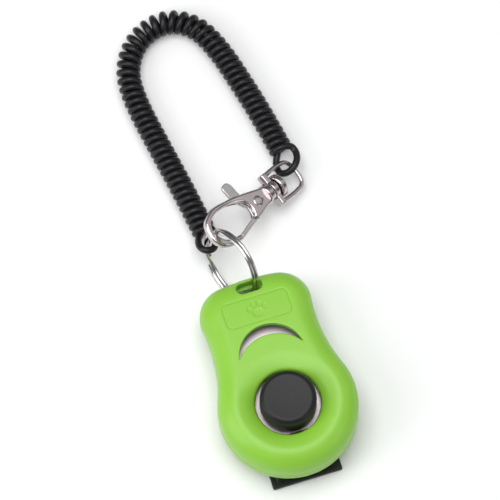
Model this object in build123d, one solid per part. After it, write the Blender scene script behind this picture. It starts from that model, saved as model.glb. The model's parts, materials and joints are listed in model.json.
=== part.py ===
"""Dog-training clicker with a split ring, a swivel lobster clasp and a coiled wrist strap.

The clicker lies on the outer face of its belt clip. Millimetres. The origin is on that face, under
the push button's axis. +Z is up out of the button, +Y points to the ring end of the case.
"""
from build123d import *
import math
import os

os.makedirs("parts", exist_ok=True)

# ---- driving dimensions: the case ----
LOBE_R = 21.0  # round end of the case, about the button axis
HEAD_END = 41.8  # furthest point of the ring end, along Y
HEAD_HALF = 17.1  # half width of the ring end
HEAD_CORNER_R = 9.5
HEAD_CORNER_Y = 31.8  # centre of the ring end's corners
WAIST_R = 47.2  # hollow of each side
PARTING_Z = 11.3
FRONT_Z = 20.2  # top of the front shell's rim at the button
BACK_Z = 4.8  # lowest face of the back shell at the button
FRONT_ARCH_R = 240.0  # the front falls away to the ring end along this arc
BACK_ARCH_R = 380.0
FRONT_EDGE_R = 5.0
BACK_EDGE_R = 3.6
WALL = 1.8
DISH = 2.6  # how far the face sinks to the button hole
DISH_R = 15.6  # where that slope begins

# ---- driving dimensions: the button and the sounding plate ----
BUTTON_R = 8.5
BUTTON_TOP_Z = 23.2
BUTTON_EDGE_R = 1.8
BUTTON_HOLE_R = 9.75
BUTTON_WALL = 1.3
BUTTON_TRAVEL = 1.5
STEM_R = 2.2  # stem that goes through the sounding plate
STEM_FIT = 0.1
STEM_HEAD_R = 2.9  # snap head that holds the button to the plate
STEM_HEAD_T = 0.9
PLATE_T = 0.45
PLATE_Z = 13.8  # underside of the sounding plate
PLATE_HALF = 10.6
PLATE_TAIL = -8.5  # free end, under the button
PLATE_HEAD = 29.5  # clamped end
SLOT_OUT_Y = 14.92  # centre of the sound slot's outer arc
SLOT_OUT_R = 9.88
SLOT_IN_Y = 9.49
SLOT_IN_R = 12.01

# ---- driving dimensions: ring slot, screws and clip ----
RING_SLOT_X = 8.0
RING_SLOT_Y = 3.9
RING_SLOT_Y0 = 38.25  # middle of the slot in the front shell
BACK_SLOT_Y = 2.9
BACK_SLOT_Y0 = 37.6  # middle of the narrower slot in the back shell
SCREW_R = 1.0
SCREW_HEAD_R = 2.0
SCREW_HEAD_T = 1.0
BOSS_R = 2.6
CASE_SCREWS = {"tail": [(-13.6, -7.4), (13.6, -7.4)], "head": [(-11.0, 32.8), (11.0, 32.8)]}
PLATE_SCREW_X = 7.4
PLATE_SCREW_Y = 27.0
CLIP_HALF = 10.8
CLIP_T = 1.8
CLIP_END = -20.0
CLIP_ROOT_Y = 21.0  # where the springy part leaves its foot
CLIP_FOOT = 9.0
CLIP_SCREW_X = 6.0
CLIP_SEAT = 1.3  # depth of the screw heads in the foot
CLIP_FLEX_GAP = 0.3

# ---- driving dimensions: split ring, clasp and strap ----
RING_R = 11.2  # centre line
RING_WIRE = 1.1
RING_CENTRE = Vector(-2.6, 47.8, 11.5)
RING_AXIS = Vector(0.894, 0.308, -0.326)
RIVET_AT = Vector(10.59, 64.63, 10.2)
CLASP_ALONG = Vector(0.8184, 0.4377, -0.3723)  # from the hook to the eye
CLASP_UP = Vector(0.4398, -0.0601, 0.8961)
CLASP_T = 3.4  # thickness at the rivet
HOOK_T = 2.4
LEVER_T = 1.0
LEVER_SLOT = 1.3
RIVET_R = 0.9
RIVET_HEAD_R = 1.75
POST_R = 1.3
POST_FIT = 0.06
EYE_WIRE_R = 0.75
EYE_BOSS_R = 2.9
POST_HEAD_R = 3.7
COIL_R = 3.75
CORD_D = 2.1

CLASP = Plane(origin=RIVET_AT, x_dir=CLASP_ALONG, z_dir=CLASP_UP)


def save(shape, name):
    shape.label = name
    export_step(shape, f"parts/{name}.step")


def case_outline(inset=0.0):
    """The case seen from above: a round lobe, a waist and a squarer ring end, all tangent arcs."""
    lobe = LOBE_R - inset
    waist = WAIST_R + inset
    corner = HEAD_CORNER_R - inset
    end_y = HEAD_END - inset
    corner_x = HEAD_HALF - HEAD_CORNER_R
    corner_y = HEAD_CORNER_Y
    to_lobe, to_corner = LOBE_R + WAIST_R, HEAD_CORNER_R + WAIST_R
    apart = math.hypot(corner_x, corner_y)
    along = (to_lobe**2 - to_corner**2 + apart**2) / (2 * apart)
    across = math.sqrt(to_lobe**2 - along**2)
    wx = (along * corner_x + across * corner_y) / apart
    wy = (along * corner_y - across * corner_x) / apart
    low = (wx * LOBE_R / to_lobe, wy * LOBE_R / to_lobe)
    turn = inset / LOBE_R
    a = (low[0] * (1 - turn), low[1] * (1 - turn))
    share = HEAD_CORNER_R / to_corner
    b0 = (corner_x + (wx - corner_x) * share, corner_y + (wy - corner_y) * share)
    inwards = inset / HEAD_CORNER_R
    b = (b0[0] + (corner_x - b0[0]) * inwards, b0[1] + (corner_y - b0[1]) * inwards)
    # the end arc touches both corners and the end point
    gap = HEAD_END - corner_y
    end_r = (corner_x**2 + gap**2 - HEAD_CORNER_R**2) / (2 * (gap - HEAD_CORNER_R))
    end_c = HEAD_END - end_r
    away = math.hypot(corner_x, corner_y - end_c)
    c = (corner_x * (end_r - inset) / away, end_c + (corner_y - end_c) * (end_r - inset) / away)

    def beyond(centre, radius, p, q):
        mx, my = (p[0] + q[0]) / 2 - centre[0], (p[1] + q[1]) / 2 - centre[1]
        size = math.hypot(mx, my)
        return (centre[0] + mx * radius / size, centre[1] + my * radius / size)

    mid_waist = beyond((wx, wy), waist, a, b)
    mid_corner = beyond((corner_x, corner_y), corner, b, c)

    def flip(p):
        return (-p[0], p[1])

    edges = [
        ThreePointArc(a, mid_waist, b),
        ThreePointArc(b, mid_corner, c),
        ThreePointArc(c, (0, end_y), flip(c)),
        ThreePointArc(flip(c), flip(mid_corner), flip(b)),
        ThreePointArc(flip(b), flip(mid_waist), flip(a)),
        ThreePointArc(flip(a), (0, -lobe), a),
    ]
    return make_face(edges)


def arch_z(y, top, radius, sign):
    return top - sign * (radius - math.sqrt(radius**2 - y**2))


def case_half(low, high, arch_top, arch_r, sign, edge_r, inset=0.0):
    """The outline between two heights, cut by the arch of the front or the back, its far edge rounded."""
    body = extrude(Plane.XY.offset(low) * case_outline(inset), high - low)
    centre_z = arch_top - sign * arch_r
    arch = Rotation(0, 90, 0) * Cylinder(arch_r, 200)
    arch = Pos(0, 0, centre_z) * arch
    body = body & arch
    if edge_r > 0:
        cut = body.faces().sort_by(Axis.Z)[-1 if sign > 0 else 0]
        body = fillet(cut.edges(), edge_r)
    return body


def post_at(x, y, radius, low, high):
    return Pos(x, y, (low + high) / 2) * Cylinder(radius, high - low)


def ring_slot(middle, width, grow, low, high):
    """A slot for the split ring, rounded at both ends, or the wall round it."""
    plan = Pos(0, middle) * SlotOverall(RING_SLOT_X + 2 * grow, width + 2 * grow)
    return extrude(Plane.XY.offset(low) * plan, high - low)


def sound_slot(low, high):
    """Crescent between two arcs, open to the sounding plate."""
    outer = Pos(0, SLOT_OUT_Y) * Circle(SLOT_OUT_R)
    inner = Pos(0, SLOT_IN_Y) * Circle(SLOT_IN_R)
    return extrude(Plane.XY.offset(low) * (outer - inner), high - low)


def front_shell():
    body = case_half(PARTING_Z, FRONT_Z + 2, FRONT_Z, FRONT_ARCH_R, 1, FRONT_EDGE_R)
    dish_mid = FRONT_Z - DISH / 2
    body -= Pos(0, 0, dish_mid) * Cone(BUTTON_HOLE_R, DISH_R, DISH)
    body -= post_at(0, 0, DISH_R, FRONT_Z, FRONT_Z + 2)
    inside = case_half(PARTING_Z - 1, FRONT_Z, FRONT_Z - WALL, FRONT_ARCH_R, 1, FRONT_EDGE_R - WALL, WALL)
    inside -= Pos(0, 0, dish_mid - WALL) * Cone(BUTTON_HOLE_R + WALL, DISH_R + WALL, DISH)
    bosses = ring_slot(RING_SLOT_Y0, RING_SLOT_Y, WALL, PARTING_Z, FRONT_Z)
    for x, y in CASE_SCREWS["tail"] + CASE_SCREWS["head"]:
        bosses += post_at(x, y, BOSS_R, PARTING_Z, FRONT_Z)
    for side in (-1, 1):
        bosses += post_at(side * PLATE_SCREW_X, PLATE_SCREW_Y, BOSS_R - 0.4, PLATE_Z + PLATE_T, FRONT_Z)
    body -= inside - bosses
    body -= post_at(0, 0, BUTTON_HOLE_R, PARTING_Z, FRONT_Z + 2)
    body -= ring_slot(RING_SLOT_Y0, RING_SLOT_Y, 0, PARTING_Z - 1, FRONT_Z + 2)
    body -= sound_slot(PARTING_Z, FRONT_Z + 2)
    for x, y in CASE_SCREWS["tail"] + CASE_SCREWS["head"]:
        body -= post_at(x, y, SCREW_R, PARTING_Z - 1, PARTING_Z + 4.6)
    for side in (-1, 1):
        body -= post_at(side * PLATE_SCREW_X, PLATE_SCREW_Y, SCREW_R, PLATE_Z, PLATE_Z + 2.8)
    return body


def back_shell():
    body = case_half(BACK_Z - 2, PARTING_Z, BACK_Z, BACK_ARCH_R, -1, BACK_EDGE_R)
    inner_edge = BACK_EDGE_R - WALL - 0.4
    inside = case_half(BACK_Z, PARTING_Z + 1, BACK_Z + WALL, BACK_ARCH_R, -1, inner_edge, WALL)
    bosses = ring_slot(BACK_SLOT_Y0, BACK_SLOT_Y, WALL, BACK_Z, PARTING_Z)
    for x, y in CASE_SCREWS["tail"] + CASE_SCREWS["head"]:
        bosses += post_at(x, y, BOSS_R + 0.8, BACK_Z, PARTING_Z)
    foot_y = CLIP_ROOT_Y + CLIP_FOOT / 2
    for side in (-1, 1):
        bosses += post_at(side * CLIP_SCREW_X, foot_y, BOSS_R, BACK_Z, BACK_Z + 4.4)
    body -= inside - bosses
    body -= ring_slot(BACK_SLOT_Y0, BACK_SLOT_Y, 0, BACK_Z - 1, PARTING_Z + 1)
    for x, y in CASE_SCREWS["tail"] + CASE_SCREWS["head"]:
        body -= post_at(x, y, SCREW_R + 0.2, BACK_Z - 1, PARTING_Z + 1)
        body -= post_at(x, y, SCREW_HEAD_R + 0.2, BACK_Z - 1, PARTING_Z - WALL)
    for side in (-1, 1):
        body -= post_at(side * CLIP_SCREW_X, foot_y, SCREW_R, BACK_Z - 1, BACK_Z + 4.0)
    return body


def screw(x, y, seat_z, tip_z):
    """Self-tapping screw: pan head under seat_z, cross recess, shank up to tip_z."""
    head = post_at(0, 0, SCREW_HEAD_R, -SCREW_HEAD_T, 0)
    head = fillet(head.faces().sort_by(Axis.Z)[0].edges(), 0.35)
    length = tip_z - seat_z
    shank = post_at(0, 0, SCREW_R - 0.02, 0, length - 0.8)
    point = Pos(0, 0, length - 0.4) * Cone(SCREW_R - 0.02, 0.3, 0.8)
    recess = Pos(0, 0, -SCREW_HEAD_T) * (Box(2.2, 0.5, 0.9) + Box(0.5, 2.2, 0.9))
    return Pos(x, y, seat_z) * (head + shank + point - recess)


def button_cap():
    """Hollow cap on a stem; the stem's snap head holds it to the sounding plate's free end."""
    plate_top = PLATE_Z + PLATE_T
    cap_low = plate_top + BUTTON_TRAVEL + 0.2
    cap = post_at(0, 0, BUTTON_R, cap_low, BUTTON_TOP_Z)
    cap = fillet(cap.faces().sort_by(Axis.Z)[-1].edges(), BUTTON_EDGE_R)
    cap -= post_at(0, 0, BUTTON_R - BUTTON_WALL, cap_low - 1, BUTTON_TOP_Z - BUTTON_WALL - 0.3)
    shoulder = post_at(0, 0, STEM_HEAD_R, plate_top + 0.1, BUTTON_TOP_Z - BUTTON_WALL)
    stem = post_at(0, 0, STEM_R, PLATE_Z - 0.1, plate_top + 0.2)
    head_low = PLATE_Z - 0.1 - STEM_HEAD_T
    head = post_at(0, 0, STEM_HEAD_R, head_low, PLATE_Z - 0.1)
    head = chamfer(head.faces().sort_by(Axis.Z)[0].edges(), 0.4)
    return cap + shoulder + stem + head


def click_plate():
    """Spring-steel tongue: a hole for the button's stem, two slits beside it, two screw holes."""
    mid = (PLATE_TAIL + PLATE_HEAD) / 2
    blank = Pos(0, mid) * RectangleRounded(2 * PLATE_HALF, PLATE_HEAD - PLATE_TAIL, 2.5)
    plate = extrude(Plane.XY.offset(PLATE_Z) * blank, PLATE_T)
    plate -= post_at(0, 0, STEM_R + STEM_FIT, PLATE_Z - 1, PLATE_Z + 1)
    for side in (-1, 1):
        plate -= post_at(side * PLATE_SCREW_X, PLATE_SCREW_Y, SCREW_R + 0.15, PLATE_Z - 1, PLATE_Z + 2)
        plate -= Pos(side * 3.6, 8.0, PLATE_Z) * Box(0.8, 20.0, 3.0)
    return plate


def clip_foot():
    """The clip's foot: a block that follows the back shell, held by two screws."""
    middle = CLIP_ROOT_Y + CLIP_FOOT / 2
    foot = Pos(0, middle, BACK_Z) * Box(2 * CLIP_HALF, CLIP_FOOT, 2 * BACK_Z)
    foot = fillet(foot.edges().filter_by(Axis.Z).group_by(Axis.Y)[-1], 3.0)
    shell = Pos(0, 0, BACK_Z + BACK_ARCH_R) * Rotation(0, 90, 0) * Cylinder(BACK_ARCH_R + 0.02, 200)
    foot -= shell
    for side in (-1, 1):
        foot -= post_at(side * CLIP_SCREW_X, middle, SCREW_R + 0.15, -1, 9)
        foot -= post_at(side * CLIP_SCREW_X, middle, SCREW_HEAD_R + 0.2, -1, CLIP_SEAT)
    return foot


def clip_leg():
    """The clip's springy leg, with a low rib that grips the belt near its free end."""
    length = CLIP_ROOT_Y - CLIP_FLEX_GAP - CLIP_END
    leg = Pos(0, CLIP_END + length / 2, CLIP_T / 2) * Box(2 * CLIP_HALF, length, CLIP_T)
    rib = Pos(0, CLIP_END + 3.0, CLIP_T - 0.5) * Rotation(0, 90, 0) * Cylinder(1.4, 2 * CLIP_HALF - 3)
    return leg + rib


def split_ring():
    """Two turns of wire lying side by side; the closed double ring is its outer shape."""
    place = Plane(origin=RING_CENTRE, z_dir=RING_AXIS)
    one = Torus(RING_R, RING_WIRE / 2)
    neck = Cylinder(RING_R + 0.3, RING_WIRE) - Cylinder(RING_R - 0.3, RING_WIRE)
    both = Pos(0, 0, RING_WIRE / 2) * one + Pos(0, 0, -RING_WIRE / 2) * one + neck
    return place * both


def clasp_hook():
    """Die-cast hook: collar, two cheeks round the lever, and a bow that curls back to the gate."""
    outline = make_face(
        [
            Line((5.0, 2.9), (3.0, 2.7)),
            Line((3.0, 2.7), (-3.5, 4.9)),
            ThreePointArc((-3.5, 4.9), (-9.0, 6.2), (-14.7, 6.7)),
            ThreePointArc((-14.7, 6.7), (-20.2, 3.9), (-21.2, -0.8)),
            ThreePointArc((-21.2, -0.8), (-18.3, -5.1), (-12.1, -6.3)),
            Line((-12.1, -6.3), (-12.1, -4.5)),
            ThreePointArc((-12.1, -4.5), (-17.2, -3.4), (-19.2, -0.4)),
            ThreePointArc((-19.2, -0.4), (-18.2, 3.2), (-14.4, 4.9)),
            ThreePointArc((-14.4, 4.9), (-9.2, 4.5), (-5.4, 3.1)),
            ThreePointArc((-5.4, 3.1), (-3.2, 0.0), (-4.6, -3.9)),
            Line((-4.6, -3.9), (-3.4, -4.5)),
            Line((-3.4, -4.5), (2.4, -2.9)),
            Line((2.4, -2.9), (5.0, -2.9)),
            Line((5.0, -2.9), (5.0, 2.9)),
        ]
    )
    body = extrude(outline, HOOK_T / 2, both=True)
    cheeks = make_face(
        [
            Line((5.0, 2.9), (3.0, 2.7)),
            Line((3.0, 2.7), (-3.3, 4.6)),
            ThreePointArc((-3.3, 4.6), (-5.4, 4.2), (-5.1, 2.9)),
            ThreePointArc((-5.1, 2.9), (-3.2, 0.0), (-4.4, -3.7)),
            Line((-4.4, -3.7), (-3.4, -4.3)),
            Line((-3.4, -4.3), (2.4, -2.8)),
            Line((2.4, -2.8), (5.0, -2.8)),
            Line((5.0, -2.8), (5.0, 2.9)),
        ]
    )
    body += extrude(cheeks, CLASP_T / 2, both=True)
    collar = Pos(4.9, 0, 0) * Rotation(0, 90, 0) * Cylinder(3.1, 2.4)
    collar = fillet(collar.edges(), 0.4)
    body += collar
    slot = Pos(-3.1, 0, 0) * Box(13.0, 30, LEVER_SLOT)
    body -= slot
    body -= Cylinder(RIVET_R, 10)
    body -= Pos(6, 0, 0) * Rotation(0, 90, 0) * Cylinder(POST_R, 6.0)
    return CLASP * body


def clasp_lever():
    """Flat steel lever on the rivet: a thumb tab above the spine and the gate that closes the bow."""
    tab = make_face(
        [
            Line((-1.9, 1.0), (-3.4, 5.2)),
            Line((-3.4, 5.2), (-3.7, 8.9)),
            ThreePointArc((-3.7, 8.9), (-5.3, 10.4), (-6.9, 9.0)),
            Line((-6.9, 9.0), (-6.6, 4.9)),
            Line((-6.6, 4.9), (-5.0, 1.0)),
            Line((-5.0, 1.0), (-1.9, 1.0)),
        ]
    )
    gate = make_face(
        [
            Line((-2.2, 0.9), (-3.9, -2.6)),
            Line((-3.9, -2.6), (-11.7, -4.55)),
            Line((-11.7, -4.55), (-11.7, -6.1)),
            Line((-11.7, -6.1), (-3.4, -4.1)),
            Line((-3.4, -4.1), (0.6, -1.3)),
            Line((0.6, -1.3), (-2.2, 0.9)),
        ]
    )
    disc = Circle(1.85)
    web = Pos(-2.4, 0.6) * Rectangle(3.4, 3.0)
    plan = disc + tab + gate + web
    body = extrude(plan, LEVER_T / 2, both=True)
    body -= Cylinder(RIVET_R + 0.05, 4)
    return CLASP * body


def lever_rivet():
    pin = Cylinder(RIVET_R, CLASP_T)
    for side in (-1, 1):
        head = Pos(0, 0, side * (CLASP_T / 2 + 0.2)) * Cylinder(RIVET_HEAD_R, 0.4)
        pin += head
        pin -= Pos(0, 0, side * (CLASP_T / 2 + 0.4)) * Cylinder(0.9, 0.5)
    return CLASP * pin


def lever_spring():
    """Bowed steel leaf between the end of the lever's slot and the lever's hub."""
    leaf = Pos(5.2, 0) * (Circle(3.2) - Circle(2.95)) & Pos(2.6, 0) * Rectangle(1.4, 5)
    return CLASP * extrude(leaf, LEVER_T / 2, both=True)


def swivel_post():
    """Post pressed into the collar, with a broad riveted head inside the eye."""
    shank = Pos(6.1, 0, 0) * Rotation(0, 90, 0) * Cylinder(POST_R, 5.6)
    head = Pos(9.75, 0, 0) * Rotation(0, 90, 0) * Cylinder(POST_HEAD_R, 2.1)
    head = fillet(head.edges(), 0.5)
    return CLASP * (shank + head)


def swivel_eye():
    """D-shaped eye: a flat base with a round boss and hole for the post, and a wire bow."""
    base = Pos(7.35, 0, 0) * Box(1.9, 11.2, 3.2)
    base = fillet(base.edges(), 0.5)
    boss = Pos(7.35, 0, 0) * Rotation(0, 90, 0) * Cylinder(EYE_BOSS_R, 1.9)
    base += fillet(boss.edges(), 0.4)
    top = Line((7.4, 4.75), (13.1, 4.9))
    bend = ThreePointArc((13.1, 4.9), (18.0, 0), (13.1, -4.9))
    low = Line((13.1, -4.9), (7.4, -4.75))
    path = Wire([top.edge(), bend.edge(), low.edge()])
    wire = sweep(Plane(origin=(7.4, 4.75, 0), z_dir=path % 0) * Circle(EYE_WIRE_R), path=path)
    eye = base + wire
    eye -= Pos(7, 0, 0) * Rotation(0, 90, 0) * Cylinder(POST_R + POST_FIT, 6)
    return CLASP * eye


# ---- the strap: its route is a list of points, chosen by hand ----
COIL_ROUTE = [
    (-6.5, 62.6), (-8.4, 76.0), (-11.4, 93.0), (-14.0, 108.5), (-13.6, 119.0), (-7.6, 127.6),
    (2.2, 130.8), (10.8, 126.4), (15.4, 116.5), (18.6, 104.0), (21.4, 92.0), (23.5, 80.2),
]
RING_LOOP = [
    (-8.7, 62.55, 4.6), (-9.8, 60.0, 6.4), (-9.9, 57.0, 8.6), (-8.3, 54.8, 9.4),
    (-5.7, 54.9, 8.7), (-4.5, 57.3, 7.2), (-4.2, 60.2, 5.6), (-4.6, 62.85, 4.6),
]
EYE_LOOP = [
    (25.6, 80.55, 4.4), (27.3, 78.6, 5.3), (27.2, 75.6, 6.2), (25.4, 73.2, 6.5), (23.0, 72.2, 5.5),
    (20.7, 73.2, 3.7), (20.3, 76.6, 2.5), (21.6, 79.85, 2.9),
]


def corner_radii(points):
    """Each arc's radius: 0.45 of the shorter run beside it, over the tangent of half its turn."""
    radii = []
    for before, here, after in zip(points, points[1:], points[2:]):
        first, second = here - before, after - here
        half = math.radians(first.get_angle(second)) / 2
        radii.append(0.45 * min(first.length, second.length) / math.tan(half))
    return radii


def cord_tube(name, points, radius):
    points = [Vector(*p) for p in points]
    radii = corner_radii(points)
    route = FilletPolyline(*points, radius=radii)
    start = points[1] - points[0]
    tube = sweep(Plane(origin=points[0], z_dir=start) * Circle(radius), path=route.wire())
    print(name, "radii", [round(r, 1) for r in radii], "length", round(route.length, 1),
          "volume ratio", round(tube.volume / (math.pi * radius**2 * route.length), 4))
    return tube


save(front_shell(), "front_shell")
save(back_shell(), "back_shell")
save(button_cap(), "button_cap")
save(click_plate(), "click_plate")
for side, side_name in ((-1, "left"), (1, "right")):
    save(screw(side * PLATE_SCREW_X, PLATE_SCREW_Y, PLATE_Z, PLATE_Z + 2.6), f"plate_screw_{side_name}")
    clip_screw = screw(side * CLIP_SCREW_X, CLIP_ROOT_Y + CLIP_FOOT / 2, CLIP_SEAT, BACK_Z + 3.9)
    save(clip_screw, f"clip_screw_{side_name}")
for end, spots in CASE_SCREWS.items():
    for (x, y), side_name in zip(spots, ("left", "right")):
        save(screw(x, y, PARTING_Z - WALL, PARTING_Z + 4.5), f"case_screw_{end}_{side_name}")
save(clip_foot(), "clip_foot")
save(clip_leg(), "clip_leg")
save(split_ring(), "split_ring")
save(clasp_hook(), "clasp_hook")
save(clasp_lever(), "clasp_lever")
save(lever_rivet(), "lever_rivet")
save(lever_spring(), "lever_spring")
save(swivel_post(), "swivel_post")
save(swivel_eye(), "swivel_eye")
save(cord_tube("wrist_coil", [(x, y, COIL_R) for x, y in COIL_ROUTE], COIL_R), "wrist_coil")
save(cord_tube("coil_loop_ring", RING_LOOP, CORD_D / 2), "coil_loop_ring")
save(cord_tube("coil_loop_eye", EYE_LOOP, CORD_D / 2), "coil_loop_eye")
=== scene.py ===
"""Dog-training clicker with its split ring, swivel lobster clasp and coiled wrist strap.

The case, button, clip, ring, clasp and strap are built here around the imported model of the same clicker.
Lengths are in millimetres until a mesh is made, then in metres. The clicker lies on its belt clip.
"""
import json
import math

import bmesh
import bpy
import numpy as np
from mathutils import Matrix, Vector
from mathutils.geometry import delaunay_2d_cdt


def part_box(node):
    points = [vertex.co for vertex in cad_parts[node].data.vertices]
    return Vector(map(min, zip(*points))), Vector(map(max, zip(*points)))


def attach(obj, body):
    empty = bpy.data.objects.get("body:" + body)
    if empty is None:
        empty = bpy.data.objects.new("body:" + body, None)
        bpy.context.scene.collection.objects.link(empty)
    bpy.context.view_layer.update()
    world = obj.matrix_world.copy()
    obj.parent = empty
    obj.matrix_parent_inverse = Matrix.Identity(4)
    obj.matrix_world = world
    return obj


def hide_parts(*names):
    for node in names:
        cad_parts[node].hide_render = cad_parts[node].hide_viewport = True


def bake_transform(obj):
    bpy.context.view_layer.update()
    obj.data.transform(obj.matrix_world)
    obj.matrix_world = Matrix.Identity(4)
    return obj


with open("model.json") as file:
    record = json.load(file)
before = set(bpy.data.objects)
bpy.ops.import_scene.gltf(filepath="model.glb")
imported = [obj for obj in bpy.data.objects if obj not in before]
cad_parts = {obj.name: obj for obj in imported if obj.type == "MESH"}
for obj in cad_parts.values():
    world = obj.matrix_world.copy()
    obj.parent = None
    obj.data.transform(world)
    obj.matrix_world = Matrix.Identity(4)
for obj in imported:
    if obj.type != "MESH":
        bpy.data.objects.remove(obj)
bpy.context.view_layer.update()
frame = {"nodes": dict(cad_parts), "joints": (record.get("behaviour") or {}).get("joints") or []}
joints = {joint["name"]: joint for joint in frame["joints"]}
MM = 0.001

# ---- studio ----
# A white table top, soft panels overhead, at both sides and over the clasp, and a pale room. The camera looks down
# on the clicker from a little left of its tail.
TO_CAMERA = Vector((-0.0933, -0.2945, 0.950)).normalized()
LOOK_AT = Vector((0.0043, 0.0510, 0.0100))
CAMERA_DISTANCE = 2.082
camera_data = bpy.data.cameras.new("camera")
camera_data.lens = 500
camera_data.sensor_width = 36
camera_data.clip_start = 0.01
camera_data.clip_end = 20
camera = bpy.data.objects.new("camera", camera_data)
camera.location = LOOK_AT + TO_CAMERA * CAMERA_DISTANCE
camera.rotation_euler = (-TO_CAMERA).to_track_quat("-Z", "Y").to_euler()
bpy.context.scene.collection.objects.link(camera)
bpy.context.scene.camera = camera
bpy.context.scene.view_settings.view_transform = "Standard"


def panel(name, place, width, depth, watts):
    """A soft rectangular light at a place, turned to the middle of the clicker."""
    light = bpy.data.lights.new(name, "AREA")
    light.shape = "RECTANGLE"
    light.size = width
    light.size_y = depth
    light.energy = watts
    lamp = bpy.data.objects.new(name, light)
    lamp.location = place
    lamp.rotation_euler = (LOOK_AT - lamp.location).to_track_quat("-Z", "Y").to_euler()
    bpy.context.scene.collection.objects.link(lamp)


panel("overhead_panel", Vector((-0.03, 0.06, 0.60)), 0.5, 0.45, 2.6)
panel("left_panel", Vector((-0.50, 0.02, 0.32)), 0.35, 0.5, 1.7)
panel("right_panel", Vector((0.42, -0.40, 0.30)), 0.25, 0.4, 0.5)
panel("clasp_panel", Vector((0.50, 0.17, 0.36)), 0.3, 0.4, 0.17)
world = bpy.data.worlds.new("room")
world.use_nodes = True
bpy.context.scene.world = world


class Signal:
    """One output of a node. A sum or product of it adds a Math node to the same tree."""

    def __init__(self, nodes, socket):
        self.nodes = nodes
        self.socket = socket

    def maths(self, operation, *values):
        return self.nodes.add("ShaderNodeMath", {"operation": operation}, dict(enumerate(values)))

    def __add__(self, other):
        return self.maths("ADD", self, other)

    def __rsub__(self, other):
        return self.maths("SUBTRACT", other, self)

    def __mul__(self, other):
        return self.maths("MULTIPLY", self, other)

    __radd__ = __add__
    __rmul__ = __mul__


class Nodes:
    """A node tree being filled in."""

    def __init__(self, tree):
        self.tree = tree

    def add(self, kind, settings=None, sockets=None, output=0):
        """One node: its settings first, then each socket's value or link. Gives one of its outputs."""
        node = self.tree.nodes.new(kind)
        for name, value in (settings or {}).items():
            if name == "stops":
                ramp = node.color_ramp.elements
                while len(ramp) < len(value):
                    ramp.new(0.5)
                for element, (place, colour) in zip(ramp, value):
                    element.position = place
                    element.color = colour
            else:
                setattr(node, name, value)
        for name, value in (sockets or {}).items():
            if isinstance(value, Signal):
                self.tree.links.new(value.socket, node.inputs[name])
            else:
                node.inputs[name].default_value = value
        return Signal(self, node.outputs[output])

    def colours(self, share, low, high):
        """Between two colours by a share."""
        return self.add("ShaderNodeMix", {"data_type": "RGBA"}, {0: share, 6: low, 7: high}, 2)


class Finish(Nodes):
    """A material: its shader's sockets take numbers, colours and signals by name."""

    def __init__(self, name):
        self.material = bpy.data.materials.new(name)
        self.material.use_nodes = True
        super().__init__(self.material.node_tree)
        self.shader = self.tree.nodes["Principled BSDF"]

    def place(self, stretch=(1, 1, 1), turn=(0, 0, 0), coordinates="Object"):
        spot = self.add("ShaderNodeTexCoord", output=coordinates)
        return self.add("ShaderNodeMapping", {}, {"Vector": spot, "Scale": stretch, "Rotation": turn})

    def noise(self, grain, where, detail=3.0, roughness=0.55):
        """Cloudy noise from 0 to 1; grain is the size of a cloud, in millimetres."""
        sockets = {"Vector": where, "Scale": 1 / (grain * MM), "Detail": detail, "Roughness": roughness}
        return self.add("ShaderNodeTexNoise", {}, sockets)

    def bump(self, height, depth, strength=1.0):
        """A bump of a depth in millimetres."""
        sockets = {"Height": height, "Distance": depth * MM, "Strength": strength}
        return self.add("ShaderNodeBump", {}, sockets)

    def set(self, **values):
        for name, value in values.items():
            socket = self.shader.inputs[name.replace("_", " ")]
            if isinstance(value, Signal):
                self.tree.links.new(value.socket, socket)
            else:
                socket.default_value = value
        return self.material


# the room is lighter overhead than at the height of the table
sky = Nodes(world.node_tree)
direction = sky.add("ShaderNodeTexCoord", output="Generated")
height = sky.add("ShaderNodeSeparateXYZ", {}, {0: direction}, "Z")
shade = [(0.0, (0.30, 0.30, 0.31, 1)), (0.35, (0.22, 0.22, 0.23, 1)), (0.8, (0.75, 0.76, 0.78, 1))]
glow = sky.add("ShaderNodeValToRGB", {"stops": shade}, {0: height})
world.node_tree.links.new(glow.socket, world.node_tree.nodes["Background"].inputs["Color"])
world.node_tree.nodes["Background"].inputs["Strength"].default_value = 0.5


def table_top():
    """Matt white card, with a little unevenness."""
    finish = Finish("white_card")
    cloud = finish.noise(60, finish.place())
    return finish.set(
        Base_Color=finish.colours(cloud, (0.93, 0.93, 0.93, 1), (0.96, 0.96, 0.96, 1)),
        Roughness=0.9,
    )


TABLE_HALF = 3.0
table_mesh = bpy.data.meshes.new("table")
corners = [(x * TABLE_HALF, y * TABLE_HALF, -0.0001) for x, y in ((-1, -1), (1, -1), (1, 1), (-1, 1))]
table_mesh.from_pydata(corners, [], [(0, 1, 2, 3)])
table_mesh.materials.append(table_top())
table = bpy.data.objects.new("table", table_mesh)
bpy.context.scene.collection.objects.link(table)

# ---- wrist strap ----
# One black polyurethane cord, wound in closed turns and set by heat. At each end it leaves the coil, goes
# round the split ring or the clasp's eye, and is pushed back into the coil's core.
CORD_D = 2.1
HELIX_R = 2.7
PITCH = 2.15
POINTS_A_TURN = 14
REST_Z = HELIX_R + CORD_D / 2
COIL_ROUTE = [
    (-6.5, 62.6), (-8.4, 76.0), (-11.4, 93.0), (-14.0, 108.5), (-13.6, 119.0), (-7.6, 127.6),
    (2.2, 130.8), (10.8, 126.4), (15.4, 116.5), (18.6, 104.0), (21.4, 92.0), (23.5, 80.2),
]
RING_LOOP = [
    (-6.9, 67.0, 3.75), (-6.7, 64.6, 3.75), (-7.2, 62.4, 4.1), (-9.2, 60.3, 6.1), (-9.9, 57.0, 8.6),
    (-8.3, 54.8, 9.4), (-5.7, 54.9, 8.7), (-4.4, 57.3, 7.3), (-4.0, 60.3, 6.1), (-4.1, 62.2, 6.1),
]
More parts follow.
